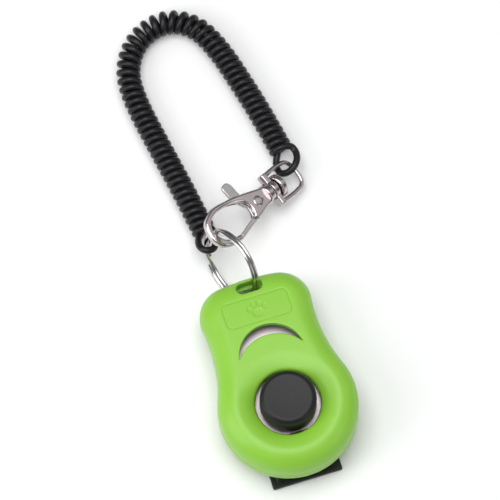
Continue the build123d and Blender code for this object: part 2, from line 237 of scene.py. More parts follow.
EYE_LOOP = [
    (26.3, 80.3, 6.0), (27.4, 78.6, 5.3), (27.2, 75.6, 6.2), (25.4, 73.2, 6.5), (23.0, 72.2, 5.5),
    (20.7, 73.2, 3.7), (20.5, 76.6, 2.7), (21.9, 79.4, 3.1), (22.9, 81.6, 3.7), (22.6, 84.0, 3.75),
]


def smooth_line(points, resolution):
    """Points along the NURBS line that has these control points, in their own unit."""
    curve = bpy.data.curves.new("line", "CURVE")
    curve.dimensions = "3D"
    spline = curve.splines.new("NURBS")
    spline.points.add(len(points) - 1)
    for point, place in zip(spline.points, points):
        point.co = (*place, 1)
    spline.order_u = 3
    spline.use_endpoint_u = True
    spline.resolution_u = resolution
    holder = bpy.data.objects.new("line", curve)
    bpy.context.scene.collection.objects.link(holder)
    mesh = bpy.data.meshes.new_from_object(holder)
    line = np.array([vertex.co for vertex in mesh.vertices])
    bpy.data.objects.remove(holder)
    bpy.data.curves.remove(curve)
    bpy.data.meshes.remove(mesh)
    return line


def coil_points():
    """The helix about the coil's route. Where the route bends, the turns stay closed on its inner side."""
    core = smooth_line([(x, y, REST_Z) for x, y in COIL_ROUTE], 40)
    steps = np.linalg.norm(np.diff(core, axis=0), axis=1)
    gone = np.concatenate([[0], np.cumsum(steps)])
    spread = np.gradient(core, gone, axis=0)
    tangent = spread / np.linalg.norm(spread, axis=1)[:, None]
    bend = np.linalg.norm(np.gradient(tangent, gone, axis=0), axis=1)
    bend = np.convolve(np.pad(bend, 20, mode="edge"), np.ones(41) / 41, mode="valid")
    rate = (1 - HELIX_R * bend) / PITCH
    turns = np.concatenate([[0], np.cumsum((rate[1:] + rate[:-1]) / 2 * steps)])
    first, last = 0.19, 0.31
    whole = round(turns[-1] - (last - first)) + (last - first)
    turns = first + turns * whole / turns[-1]
    wanted = np.arange(first, turns[-1], 1 / POINTS_A_TURN)
    at = [np.interp(wanted, turns, core[:, axis]) for axis in range(3)]
    side = np.stack([np.interp(wanted, turns, tangent[:, 1]), -np.interp(wanted, turns, tangent[:, 0])])
    radius = HELIX_R / math.cos(math.pi / POINTS_A_TURN)
    across = radius * np.cos(2 * math.pi * wanted)
    up = radius * np.sin(2 * math.pi * wanted)
    return np.stack([at[0] + side[0] * across, at[1] + side[1] * across, at[2] + up], axis=1)


def tube(name, line, radius, sides, material):
    """A round tube along a line in metres, closed at both ends. Its UV map runs along and around it."""
    spread = np.gradient(line, axis=0)
    tangent = spread / np.linalg.norm(spread, axis=1)[:, None]
    across = np.cross(tangent[0], (0.0, 0.0, 1.0))
    rings = []
    for here, ahead in zip(line, tangent):
        across = across - ahead * np.dot(across, ahead)
        across = across / np.linalg.norm(across)
        up = np.cross(ahead, across)
        turn = 2 * math.pi * np.arange(sides) / sides
        rings.append(here + radius * (np.cos(turn)[:, None] * across + np.sin(turn)[:, None] * up))
    gone = np.concatenate([[0], np.cumsum(np.linalg.norm(np.diff(line, axis=0), axis=1))])
    faces, places = [], []
    for ring in range(len(line) - 1):
        for side in range(sides):
            near, far = ring * sides, (ring + 1) * sides
            beside = (side + 1) % sides
            faces.append((near + side, near + beside, far + beside, far + side))
            low, high = side / sides, (side + 1) / sides
            places += [(gone[ring], low), (gone[ring], high), (gone[ring + 1], high), (gone[ring + 1], low)]
    faces.append(tuple(reversed(range(sides))))
    faces.append(tuple(range((len(line) - 1) * sides, len(line) * sides)))
    places += [(0, side / sides) for side in range(2 * sides)]
    mesh = bpy.data.meshes.new(name)
    mesh.from_pydata(np.concatenate(rings).tolist(), [], faces)
    layer = mesh.uv_layers.new(name="along")
    layer.data.foreach_set("uv", np.array(places, np.float32).ravel())
    mesh.shade_smooth()
    mesh.materials.append(material)
    piece = bpy.data.objects.new(name, mesh)
    bpy.context.scene.collection.objects.link(piece)
    return piece


def black_cord():
    """Glossy polyurethane, drawn lengthways: faint lines along the cord and a little dust-dull mottling."""
    finish = Finish("black_polyurethane")
    lines = finish.noise(1, finish.place(stretch=(0.02, 0.012, 1), coordinates="UV"))
    cloud = finish.noise(5, finish.place())
    return finish.set(
        Base_Color=finish.colours(cloud, (0.006, 0.006, 0.007, 1), (0.015, 0.015, 0.017, 1)),
        Roughness=0.26 + 0.12 * cloud + 0.05 * lines,
        Normal=finish.bump(lines, 0.01),
        Specular_IOR_Level=0.3,
    )


control = np.concatenate([RING_LOOP, coil_points(), EYE_LOOP])
strap_line = smooth_line((control * MM).tolist(), 3)
strap = tube("wrist_strap", strap_line, CORD_D / 2 * MM, 14, black_cord())
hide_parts("wrist_coil", "coil_loop_ring", "coil_loop_eye")
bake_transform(strap)

# ---- case halves ----
# Two moulded shells in lime green plastic that meet on a parting line. The front has a bowl round the button,
# a crescent for the sound, a slot for the ring and a shallow engraving. The back has four screw wells.
front_low, front_high = (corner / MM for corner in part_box("front_shell"))
back_low, back_high = (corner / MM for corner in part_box("back_shell"))
LOBE_R = -front_low.y
HEAD_END = front_high.y
PARTING_Z = back_high.z
FRONT_Z = front_high.z
BACK_Z = back_low.z
HEAD_HALF = 17.1
HEAD_CORNER_R = 9.5
HEAD_CORNER_Y = HEAD_END - 10
WAIST_R = 47.2
WALL = 1.8
SEAM = 0.18
FRONT_ARCH_R = 240
BACK_ARCH_R = 380
FRONT_EDGE = (6.0, 5.7)
BACK_EDGE = (4.2, 4.0)
BUTTON_HOLE_R = 9.75
BOWL_R = 15.8
BOWL_DEPTH = 2.55
HOLE_LIP = 0.8
CRESCENT_LIP = 0.35
SLOT_LIP = 0.6
CRESCENT = ((14.92, 9.88), (9.49, 12.01))
RING_SLOT = (38.25, 8.0, 3.9)
BACK_RING_SLOT = (37.6, 8.0, 2.9)
CASE_SCREWS = [(-13.6, -7.4), (13.6, -7.4), (-11.0, 32.8), (11.0, 32.8)]
WELL_R = 2.2
WELL_TOP = PARTING_Z - WALL
BOSS_WALL = 1.2
PLAQUE = (30.4, 10.1, 4.1, 1.7)
GROOVE = (0.32, 0.16)
PAW = [(0, 29.1, 1.75, 1.35), (-2.35, 30.7, 0.72, 0.95), (-0.85, 31.85, 0.72, 1.0),
       (0.85, 31.85, 0.72, 1.0), (2.35, 30.7, 0.72, 0.95)]
PAW_DEPTH = 0.18


def outline(inset=0.0, step=0.45):
    """The case's plan, anticlockwise: a round lobe, a waist and a squarer ring end, all tangent arcs."""
    corner = np.array([HEAD_HALF - HEAD_CORNER_R, HEAD_CORNER_Y])
    to_lobe, to_corner = LOBE_R + WAIST_R, HEAD_CORNER_R + WAIST_R
    apart = np.hypot(*corner)
    along = (to_lobe**2 - to_corner**2 + apart**2) / (2 * apart)
    beside = math.sqrt(to_lobe**2 - along**2)
    waist = (along * corner + beside * np.array([corner[1], -corner[0]])) / apart
    gap = HEAD_END - corner[1]
    end_r = (corner[0] ** 2 + gap**2 - HEAD_CORNER_R**2) / (2 * (gap - HEAD_CORNER_R))
    end = np.array([0, HEAD_END - end_r])
    to_waist = math.atan2(waist[1], waist[0])
    from_waist = math.atan2(waist[1] - corner[1], waist[0] - corner[0])
    to_end = math.atan2(corner[1] - end[1], corner[0])
    arcs = [
        (np.zeros(2), LOBE_R, 1, -math.pi / 2, to_waist),
        (waist, WAIST_R, -1, to_waist + math.pi, from_waist + math.pi),
        (corner, HEAD_CORNER_R, 1, from_waist, to_end),
        (end, end_r, 1, to_end, math.pi / 2),
    ]
    half = []
    for centre, radius, bulge, start, stop in arcs:
        count = max(2, round(abs(stop - start) * radius / step))
        turn = start + (stop - start) * np.arange(count) / count
        reach = radius - bulge * inset
        half += [centre + reach * np.array([math.cos(a), math.sin(a)]) for a in turn]
    half = np.array(half + [[0, HEAD_END - inset]])
    return np.concatenate([half, half[-2:0:-1] * (-1, 1)])


def circle(x, y, radius, step=0.5):
    turn = np.arange(0, 2 * math.pi, step / radius)
    return np.stack([x + radius * np.cos(turn), y + radius * np.sin(turn)], axis=1)


def stadium(y, length, width, radius=None, step=0.3):
    """A rounded bar lying along X, centred on the case's middle line."""
    radius = radius or width / 2
    straight_x, straight_y = length / 2 - radius, width / 2 - radius
    corners = [(straight_x, y - straight_y, -90), (straight_x, y + straight_y, 0),
               (-straight_x, y + straight_y, 90), (-straight_x, y - straight_y, 180)]
    count = max(3, round(radius * math.pi / 2 / step))
    loop = []
    for cx, cy, start in corners:
        turn = np.radians(start + 90 * np.arange(count + 1) / count)
        loop += [(cx + radius * math.cos(a), cy + radius * math.sin(a)) for a in turn]
    return filled(np.array(loop), step)


def filled(loop, step):
    """The same closed loop with long runs divided, and doubled points left out."""
    points = []
    for start, stop in zip(loop, np.roll(loop, -1, axis=0)):
        length = np.hypot(*(stop - start))
        if length > 1e-6:
            count = max(1, round(length / step))
            points += [start + (stop - start) * part / count for part in range(count)]
    return np.array(points)


def crescent(step=0.3):
    """Between an outer arc and a flatter inner arc that meet in two tips."""
    (outer_y, outer_r), (inner_y, inner_r) = CRESCENT
    tip_y = (outer_r**2 - inner_r**2 + inner_y**2 - outer_y**2) / (2 * (inner_y - outer_y))
    tip_x = math.sqrt(outer_r**2 - (tip_y - outer_y) ** 2)
    high = math.atan2(tip_y - outer_y, tip_x)
    flat = math.atan2(tip_y - inner_y, tip_x)
    up = np.linspace(high, math.pi - high, round((math.pi - 2 * high) * outer_r / step))
    down = np.linspace(math.pi - flat, flat, round((math.pi - 2 * flat) * inner_r / step))[1:-1]
    over = np.stack([outer_r * np.cos(up), outer_y + outer_r * np.sin(up)], axis=1)
    under = np.stack([inner_r * np.cos(down), inner_y + inner_r * np.sin(down)], axis=1)
    return np.concatenate([over, under])


def grown(loop, by):
    """An anticlockwise loop moved outwards, point for point."""
    along = np.roll(loop, -1, axis=0) - np.roll(loop, 1, axis=0)
    outwards = np.stack([along[:, 1], -along[:, 0]], axis=1) / np.hypot(*along.T)[:, None]
    return loop + by * outwards


def inside(loop, points):
    """Which points lie inside a closed loop."""
    x, y = points[:, 0:1], points[:, 1:2]
    start, stop = loop, np.roll(loop, -1, axis=0)
    crossed = (start[:, 1] > y) != (stop[:, 1] > y)
    rise = np.where(stop[:, 1] == start[:, 1], 1, stop[:, 1] - start[:, 1])
    at = start[:, 0] + (y - start[:, 1]) * (stop[:, 0] - start[:, 0]) / rise
    return (crossed & (x < at)).sum(axis=1) % 2 == 1


def distance(loop, points):
    """How far each point is from a closed loop."""
    start = loop
    edge = np.roll(loop, -1, axis=0) - loop
    square = np.maximum((edge**2).sum(axis=1), 1e-12)
    parts = []
    for chunk in np.array_split(points, max(1, len(points) // 1500)):
        apart = chunk[:, None, :] - start
        share = np.clip((apart * edge).sum(axis=2) / square, 0, 1)
        parts.append(np.sqrt(((apart - share[..., None] * edge) ** 2).sum(axis=2)).min(axis=1))
    return np.concatenate(parts)


def hexagons(low, high, spacing):
    """Points of a triangular lattice in a rectangle."""
    rows = np.arange(low[1], high[1], spacing * math.sqrt(3) / 2)
    points = []
    for number, y in enumerate(rows):
        x = np.arange(low[0] + (number % 2) * spacing / 2, high[0], spacing)
        points.append(np.stack([x, np.full(len(x), y)], axis=1))
    return np.concatenate(points)


def eased(low, high, value):
    share = np.clip((value - low) / (high - low), 0, 1)
    return share * share * (3 - 2 * share)


def shoulder(away, width, drop):
    """How far a rounded edge has fallen at a distance from that edge: a quarter of an ellipse."""
    share = np.clip(1 - away / width, 0, 1)
    return drop * (1 - np.sqrt(1 - share**2))


class Solid:
    """A closed mesh being put together from plan surfaces, walls between loops and caps."""

    def __init__(self):
        self.points, self.faces = [], []

    def loop(self, plan, height):
        """Adds a loop of points at a height, and gives their numbers."""
        first = len(self.points)
        heights = np.broadcast_to(height, len(plan))
        self.points += [(x, y, z) for (x, y), z in zip(plan, heights)]
        return list(range(first, len(self.points)))

    def wall(self, one, other):
        """Quads between two loops of as many points."""
        for here in range(len(one)):
            beside = (here + 1) % len(one)
            self.faces.append((one[here], one[beside], other[beside], other[here]))

    def cap(self, loop):
        self.faces.append(tuple(loop))

    def surface(self, rim, holes, free, height):
        """Triangles over the plan between a rim and its holes, lifted to a height rule.
        Gives the numbers of each loop's points."""
        loops = [rim, *holes]
        keep = inside(rim, free)
        for hole in holes:
            keep &= ~inside(hole, free)
        for loop in loops:
            keep[keep] &= distance(loop, free[keep]) > 0.03
        plan = np.concatenate([*loops, free[keep]])
        edges, first = [], 0
        for loop in loops:
            edges += [(first + i, first + (i + 1) % len(loop)) for i in range(len(loop))]
            first += len(loop)
        spots, _, triangles, sources, _, _ = delaunay_2d_cdt([Vector(p) for p in plan], edges, [], 0, 1e-5)
        spots = np.array([tuple(p) for p in spots])
        triangles = np.array(triangles)
        middle = spots[triangles].mean(axis=1)
        wanted = inside(rim, middle)
        for hole in holes:
            wanted &= ~inside(hole, middle)
        base = len(self.points)
        self.points += [(x, y, z) for (x, y), z in zip(spots, height(spots))]
        self.faces += [tuple(int(base + i) for i in t) for t in triangles[wanted]]
        place = {old: base + new for new, olds in enumerate(sources) for old in olds}
        numbers, first = [], 0
        for loop in loops:
            numbers.append([place[first + i] for i in range(len(loop))])
            first += len(loop)
        return numbers

    def piece(self, name, material, sharp=35, place=None):
        """The finished mesh, in metres, with its faces outwards and its sharp edges marked."""
        mesh = bpy.data.meshes.new(name)
        mesh.from_pydata([tuple(c * MM for c in point) for point in self.points], [], self.faces)
        work = bmesh.new()
        work.from_mesh(mesh)
        loose = [vertex for vertex in work.verts if not vertex.link_faces]
        bmesh.ops.delete(work, geom=loose, context="VERTS")
        bmesh.ops.remove_doubles(work, verts=work.verts, dist=1e-7)
        bmesh.ops.recalc_face_normals(work, faces=work.faces)
        work.to_mesh(mesh)
        work.free()
        if place:
            mesh.transform(place)
        mesh.shade_smooth()
        mesh.set_sharp_from_angle(angle=math.radians(sharp))
        mesh.materials.append(material)
        piece = bpy.data.objects.new(name, mesh)
        bpy.context.scene.collection.objects.link(piece)
        return piece


def edge_rows(loop_at, width, rows):
    """Loops inside an edge, closer together where its rounding is steeper."""
    turn = np.linspace(0, math.pi / 2, rows + 1)[1:]
    return np.concatenate([loop_at(width * (1 - math.cos(a))) for a in turn])


BUTTON_HOLE = circle(0, 0, BUTTON_HOLE_R)
CRESCENT_HOLE = crescent()
SLOT_HOLE = stadium(*RING_SLOT)
PLAQUE_LINE = stadium(PLAQUE[0], 2 * PLAQUE[1], 2 * PLAQUE[2], PLAQUE[3])
CASE_EDGE = outline()


def bowl(points):
    """Depth of the bowl round the button, shallower towards the crescent."""
    share = np.clip((BOWL_R - np.hypot(*points.T)) / (BOWL_R - BUTTON_HOLE_R), 0, 1)
    return BOWL_DEPTH * share**1.7 * (1 - 0.45 * eased(2, 9, points[:, 1]))


def engraving(points):
    """The plaque's groove and the paw's pads."""
    line = distance(PLAQUE_LINE, points)
    depth = GROOVE[1] * (1 - eased(0.25 * GROOVE[0], GROOVE[0], line))
    for x, y, half_x, half_y in PAW:
        reach = np.hypot((points[:, 0] - x) / half_x, (points[:, 1] - y) / half_y)
        depth = np.maximum(depth, PAW_DEPTH * (1 - eased(0.86, 1.08, reach)))
    return depth


def front_height(points):
    arch = FRONT_ARCH_R - np.sqrt(FRONT_ARCH_R**2 - points[:, 1] ** 2)
    drop = np.minimum(FRONT_EDGE[1], FRONT_Z - arch - PARTING_Z - 0.4)
    fall = shoulder(distance(CASE_EDGE, points), FRONT_EDGE[0], drop) + bowl(points) + engraving(points)
    for hole, lip in ((BUTTON_HOLE, HOLE_LIP), (CRESCENT_HOLE, CRESCENT_LIP), (SLOT_HOLE, SLOT_LIP)):
        fall += shoulder(distance(hole, points), lip, lip)
    return FRONT_Z - arch - fall


def front_inner_height(points):
    arch = FRONT_ARCH_R - np.sqrt(FRONT_ARCH_R**2 - points[:, 1] ** 2)
    drop = np.minimum(FRONT_EDGE[1], FRONT_Z - arch - PARTING_Z - 0.4) - WALL
    fall = shoulder(distance(CASE_EDGE, points) - WALL, FRONT_EDGE[0] - WALL, drop)
    return FRONT_Z - WALL - arch - fall - bowl(points)


def back_height(points):
    arch = BACK_ARCH_R - np.sqrt(BACK_ARCH_R**2 - points[:, 1] ** 2)
    rise = shoulder(distance(CASE_EDGE, points), *BACK_EDGE)
    for hole in BACK_HOLES:
        rise += shoulder(distance(hole, points), 0.3, 0.3)
    return BACK_Z + arch + rise


def back_inner_height(points):
    arch = BACK_ARCH_R - np.sqrt(BACK_ARCH_R**2 - points[:, 1] ** 2)
    return BACK_Z + WALL + arch + shoulder(distance(CASE_EDGE, points) - WALL, 2.2, 2.0)


def lime_plastic(name, light, dark):
    """Satin moulded plastic: a fine mould texture, soft clouding and faint rubbed streaks."""
    finish = Finish(name)
    grain = finish.noise(0.22, finish.place(), detail=2)
    cloud = finish.noise(9, finish.place())
    rubbed = finish.noise(3, finish.place(stretch=(1, 0.12, 1), turn=(0, 0, 0.5)), detail=5)
    return finish.set(
        Base_Color=finish.colours(cloud, dark, light),
        Roughness=0.30 + 0.10 * cloud + 0.06 * rubbed,
        Normal=finish.bump(grain, 0.012, 0.5),
        Specular_IOR_Level=0.45,
        Subsurface_Weight=0.06,
        Subsurface_Radius=(0.002, 0.004, 0.001),
    )


lime = lime_plastic("lime_plastic", (0.262, 0.560, 0.050, 1), (0.235, 0.520, 0.040, 1))

CASE_LOW = (-LOBE_R, -LOBE_R)
CASE_HIGH = (LOBE_R, HEAD_END)
plain = hexagons(CASE_LOW, CASE_HIGH, 0.6)
clear = distance(CASE_EDGE, plain) > FRONT_EDGE[0] + 0.2
for hole, lip in ((BUTTON_HOLE, HOLE_LIP), (CRESCENT_HOLE, CRESCENT_LIP), (SLOT_HOLE, SLOT_LIP)):
    clear &= distance(hole, plain) > lip + 0.2
paw_patch = hexagons((-3.4, 27.4), (3.4, 33.2), 0.16)
clear &= (distance(PLAQUE_LINE, plain) > 0.45) & ~inside(stadium(30.3, 7.0, 6.0, 0.2), plain)
rows = [edge_rows(outline, FRONT_EDGE[0], 14), plain[clear], paw_patch]
rows.append(edge_rows(lambda by: grown(BUTTON_HOLE, by), HOLE_LIP, 6))
rows.append(edge_rows(lambda by: grown(CRESCENT_HOLE, by), CRESCENT_LIP, 4))
rows.append(edge_rows(lambda by: grown(SLOT_HOLE, by), SLOT_LIP, 5))
rows += [grown(PLAQUE_LINE, by) for by in (-0.36, -0.27, -0.18, -0.09, 0, 0.09, 0.18, 0.27, 0.36)]
free = np.concatenate(rows)
near_crescent = distance(CRESCENT_HOLE, free) < 0.02
free = free[~near_crescent]

front = Solid()
front_holes = [BUTTON_HOLE, CRESCENT_HOLE, SLOT_HOLE]
rim, hole, sound, slot = front.surface(CASE_EDGE, front_holes, free, front_height)
coarse = hexagons(CASE_LOW, CASE_HIGH, 1.2)
INNER_EDGE = outline(WALL)
SLOT_BOSS = grown(SLOT_HOLE, WALL)
inner_rim, inner_hole, inner_sound, inner_slot = front.surface(
    INNER_EDGE, [BUTTON_HOLE, CRESCENT_HOLE, SLOT_BOSS], coarse, front_inner_height
)
side = front.loop(CASE_EDGE, PARTING_Z + SEAM)
seam = front.loop(outline(SEAM), PARTING_Z + 0.02)
ledge = front.loop(INNER_EDGE, PARTING_Z + 0.02)
for one, other in ((rim, side), (side, seam), (seam, ledge), (ledge, inner_rim)):
    front.wall(one, other)
front.wall(hole, inner_hole)
front.wall(sound, inner_sound)
slot_foot = front.loop(SLOT_HOLE, PARTING_Z + 0.02)
boss_foot = front.loop(SLOT_BOSS, PARTING_Z + 0.02)
for one, other in ((slot, slot_foot), (slot_foot, boss_foot), (boss_foot, inner_slot)):
    front.wall(one, other)
front_case = front.piece("front_case", lime)
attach(front_case, "clicker")
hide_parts("front_shell")

BACK_SLOT = stadium(*BACK_RING_SLOT)
WELLS = [circle(x, y, WELL_R, 0.3) for x, y in CASE_SCREWS]
BACK_HOLES = [BACK_SLOT, *WELLS]
plain = hexagons(CASE_LOW, CASE_HIGH, 0.9)
clear = distance(CASE_EDGE, plain) > BACK_EDGE[0] + 0.2
for hole in BACK_HOLES:
    clear &= distance(hole, plain) > 0.6
rows = [edge_rows(outline, BACK_EDGE[0], 12), plain[clear]]
for hole in BACK_HOLES:
    rows.append(edge_rows(lambda by: grown(hole, by), 0.3, 3))
back = Solid()
rim, slot, *wells = back.surface(CASE_EDGE, BACK_HOLES, np.concatenate(rows), back_height)
BOSSES = [grown(well, BOSS_WALL) for well in WELLS]
BACK_BOSS = grown(BACK_SLOT, WALL)
inner_rim, inner_slot, *inner_bosses = back.surface(
    INNER_EDGE, [BACK_BOSS, *BOSSES], coarse, back_inner_height
)
side = back.loop(CASE_EDGE, PARTING_Z - SEAM)
seam = back.loop(outline(SEAM), PARTING_Z - 0.02)
ledge = back.loop(INNER_EDGE, PARTING_Z - 0.02)
for one, other in ((rim, side), (side, seam), (seam, ledge), (ledge, inner_rim)):
    back.wall(one, other)
slot_foot = back.loop(BACK_SLOT, PARTING_Z - 0.02)
boss_foot = back.loop(BACK_BOSS, PARTING_Z - 0.02)
for one, other in ((slot, slot_foot), (slot_foot, boss_foot), (boss_foot, inner_slot)):
    back.wall(one, other)
for plan, well, boss_plan, boss in zip(WELLS, wells, BOSSES, inner_bosses):
    seat = back.loop(plan, WELL_TOP)
    back.wall(well, seat)
    back.cap(seat)
    top = back.loop(boss_plan, PARTING_Z - 0.1)
    back.wall(boss, top)
    back.cap(top)
back_case = back.piece("back_case", lime)
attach(back_case, "clicker")
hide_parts("back_shell")

# ---- sounding plate and its screws ----
# A tongue of bright spring steel with two slits, brushed across its length. Two zinc-plated screws hold its
# far end to the front shell, and its free end goes down with the button.


def brushed_steel():
    """Bright spring steel with fine scratches across the tongue and a faint warm cast."""
    finish = Finish("brushed_steel")
    scratches = finish.noise(0.5, finish.place(stretch=(0.04, 8, 1)), detail=4)
    cloud = finish.noise(6, finish.place())
    return finish.set(
        Base_Color=finish.colours(cloud, (0.40, 0.345, 0.365, 1), (0.49, 0.435, 0.455, 1)),
        Metallic=1.0,
        Roughness=0.34 + 0.16 * scratches,
        Normal=finish.bump(scratches, 0.004),
    )


def zinc(name="zinc_plate"):
    """Zinc-plated screw steel: a dull crystalline cloud under light scratches."""
    finish = Finish(name)
    cloud = finish.noise(0.7, finish.place(), detail=5)
    return finish.set(
        Base_Color=finish.colours(cloud, (0.42, 0.43, 0.45, 1), (0.66, 0.66, 0.66, 1)),
        Metallic=1.0,
        Roughness=0.28 + 0.2 * cloud,
        Normal=finish.bump(cloud, 0.01),
    )


def finish_node(name, material):
    """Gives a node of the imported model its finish."""
    mesh = frame["nodes"][name].data
    mesh.materials.clear()
    mesh.materials.append(material)


screw_zinc = zinc()
PLATE_LOW, PLATE_HIGH = (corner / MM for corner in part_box("click_plate"))
PLATE_LENGTH = PLATE_HIGH.y - PLATE_LOW.y
PLATE_RIM = stadium((PLATE_LOW.y + PLATE_HIGH.y) / 2, 2 * PLATE_HIGH.x, PLATE_LENGTH, 2.5, 0.6)
STEM_HOLE_R = 2.3
PLATE_SCREW = (7.4, 27.0, 1.15)
SLIT_X = (3.2, 4.0)
SLIT_Y = (-2.0, 18.0)
PLATE_HOLES = [circle(0, 0, STEM_HOLE_R, 0.3)]
PLATE_HOLES += [circle(side * PLATE_SCREW[0], *PLATE_SCREW[1:], 0.3) for side in (-1, 1)]
for left, right in ((-SLIT_X[1], -SLIT_X[0]), SLIT_X):
    slit = [(left, SLIT_Y[0]), (right, SLIT_Y[0]), (right, SLIT_Y[1]), (left, SLIT_Y[1])]
    PLATE_HOLES.append(filled(np.array(slit), 0.6))
steel = Solid()
free = hexagons(PLATE_LOW[:2], PLATE_HIGH[:2], 0.9)
upper = steel.surface(PLATE_RIM, PLATE_HOLES, free, lambda points: np.full(len(points), PLATE_HIGH.z))
lower = steel.surface(PLATE_RIM, PLATE_HOLES, free, lambda points: np.full(len(points), PLATE_LOW.z))
for one, other in zip(upper, lower):
    steel.wall(one, other)
tongue = steel.piece("sounding_plate", brushed_steel())
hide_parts("click_plate")
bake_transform(tongue)

for screw in ("plate_screw", "clip_screw", "case_screw_tail", "case_screw_head"):
    for side in ("left", "right"):
        finish_node(f"{screw}_{side}", screw_zinc)

# ---- push button ----
# A black moulded cap with a slightly dished top. Its stem goes through the sounding plate, and a snap head
# under the plate holds it there.
cap_low, cap_high = (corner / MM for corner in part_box("button_cap"))
CAP_R = 8.5
CAP_EDGE = 1.7
CAP_DISH = 0.22
CAP_WALL = 1.3
CAP_LOW = 15.95
CAP_CEILING = 21.6
STEM_R = 2.2
STEM_HEAD = (2.9, 0.9)
PLATE_TOP = PLATE_HIGH.z


def lathed(name, profile, material, sides=96, sharp=35, place=None):
    """A turned piece: a closed profile of (radius, height) points about Z, starting and ending on the axis."""
    solid = Solid()
    turn = 2 * math.pi * np.arange(sides) / sides
    around = np.stack([np.cos(turn), np.sin(turn)], axis=1)
    rings = [solid.loop(around * radius, height) for radius, height in profile if radius > 1e-6]
    for one, other in zip(rings, rings[1:]):
        solid.wall(one, other)
    solid.cap(rings[0])
    solid.cap(rings[-1])
    return solid.piece(name, material, sharp, place)


def black_plastic():
    """Satin black moulding with a fine spark-eroded grain, worn a little smoother in patches."""
    finish = Finish("black_plastic")
    grain = finish.noise(0.16, finish.place(), detail=2)
    worn = finish.noise(4, finish.place())
    return finish.set(
        Base_Color=finish.colours(worn, (0.008, 0.008, 0.009, 1), (0.016, 0.016, 0.017, 1)),
        Roughness=0.30 + 0.12 * worn + 0.06 * grain,
        Normal=finish.bump(grain, 0.01),
        Specular_IOR_Level=0.25,
    )


satin_black = black_plastic()
dish = [(radius, cap_high.z - CAP_DISH * (1 - (radius / (CAP_R - CAP_EDGE)) ** 2))
        for radius in np.linspace(0.3, CAP_R - CAP_EDGE - 0.3, 14)]
edge = [(CAP_R - CAP_EDGE * (1 - math.sin(a)), cap_high.z - CAP_EDGE * (1 - math.cos(a)))
        for a in np.linspace(0.03, math.pi / 2, 14)]
neck = cap_low.z + STEM_HEAD[1]
profile = [(0.3, cap_low.z), (STEM_HEAD[0] - 0.4, cap_low.z), (STEM_HEAD[0], cap_low.z + 0.4),
           (STEM_HEAD[0], neck), (STEM_R, neck), (STEM_R, PLATE_TOP + 0.1), (STEM_HEAD[0], PLATE_TOP + 0.1),
           (STEM_HEAD[0], CAP_CEILING), (CAP_R - CAP_WALL, CAP_CEILING), (CAP_R - CAP_WALL, CAP_LOW),
           (CAP_R, CAP_LOW)]
profile += list(reversed(edge)) + list(reversed(dish))
button = lathed("push_button", profile, satin_black)
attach(button, "button")
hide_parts("button_cap")

# ---- belt clip ----
# One black moulding: a springy leg with a low rib near its free end, and a foot that follows the back shell.
# Two screws sit in the foot.
CLIP_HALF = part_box("clip_leg")[1].x / MM
CLIP_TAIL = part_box("clip_leg")[0].y / MM
CLIP_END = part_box("clip_foot")[1].y / MM
CLIP_T = 1.8
CLIP_ROUND = 0.4
CLIP_ROOT = (20.3, 21.3)
RIB_Y, RIB_R = CLIP_TAIL + 3, 1.4
CLIP_SCREW = (6.0, 25.5)
CLIP_WELLS = [circle(side * CLIP_SCREW[0], CLIP_SCREW[1], WELL_R, 0.3) for side in (-1, 1)]
CLIP_SEAT = 1.3


def clip_plan():
    """A long bar, nearly square at its free end and rounder at its foot."""
    corners = [(CLIP_HALF, CLIP_TAIL, 0.5, -90), (CLIP_HALF, CLIP_END, 3.0, 0),
               (-CLIP_HALF, CLIP_END, 3.0, 90), (-CLIP_HALF, CLIP_TAIL, 0.5, 180)]
    loop = []
    for x, y, radius, start in corners:
        middle = (x - math.copysign(radius, x), y - math.copysign(radius, y))
        turn = np.radians(start + 15 * np.arange(7))
        loop += [(middle[0] + radius * math.cos(a), middle[1] + radius * math.sin(a)) for a in turn]
    return filled(np.array(loop), 0.7)


CLIP_PLAN = clip_plan()


def clip_top(points):
    """The leg's inner face with its rib, then the foot, which rises to the back shell."""
    y = points[:, 1]
    rib = np.sqrt(np.maximum(RIB_R**2 - (y - RIB_Y) ** 2, 0)) - 0.5
    rib = np.maximum(rib, 0) * (1 - eased(CLIP_HALF - 2.4, CLIP_HALF - 1.5, abs(points[:, 0])))
    shell = BACK_Z + BACK_ARCH_R - np.sqrt(BACK_ARCH_R**2 - y**2) - 0.02
    high = CLIP_T + rib + (shell - CLIP_T) * eased(*CLIP_ROOT, y)
    return high - shoulder(distance(CLIP_PLAN, points), CLIP_ROUND, CLIP_ROUND)


def clip_bottom(points):
    fall = shoulder(distance(CLIP_PLAN, points), CLIP_ROUND, CLIP_ROUND)
    for well in CLIP_WELLS:
        fall += shoulder(distance(well, points), 0.25, 0.25)
    return fall


plain = hexagons((-CLIP_HALF, CLIP_TAIL), (CLIP_HALF, CLIP_END), 0.9)
plain = plain[distance(CLIP_PLAN, plain) > CLIP_ROUND + 0.2]
rounding = [grown(CLIP_PLAN, -CLIP_ROUND * share) for share in (0.1, 0.3, 0.6, 1.0)]
across = np.linspace(-CLIP_HALF + 0.8, CLIP_HALF - 0.8, 28)
bands = [np.stack([across, np.full(28, y)], axis=1)
         for y in (*(RIB_Y + RIB_R * np.sin(np.linspace(-1.5, 1.5, 13))), *np.linspace(*CLIP_ROOT, 7))]
clip_solid = Solid()
(upper,) = clip_solid.surface(CLIP_PLAN, [], np.concatenate([plain, *rounding, *bands]), clip_top)
lips = [grown(well, by) for well in CLIP_WELLS for by in (0.08, 0.25)]
wells_clear = plain[np.min([distance(well, plain) for well in CLIP_WELLS], axis=0) > 0.5]
under_points = np.concatenate([wells_clear, *rounding, *lips])
lower, *wells = clip_solid.surface(CLIP_PLAN, CLIP_WELLS, under_points, clip_bottom)
clip_solid.wall(lower, upper)
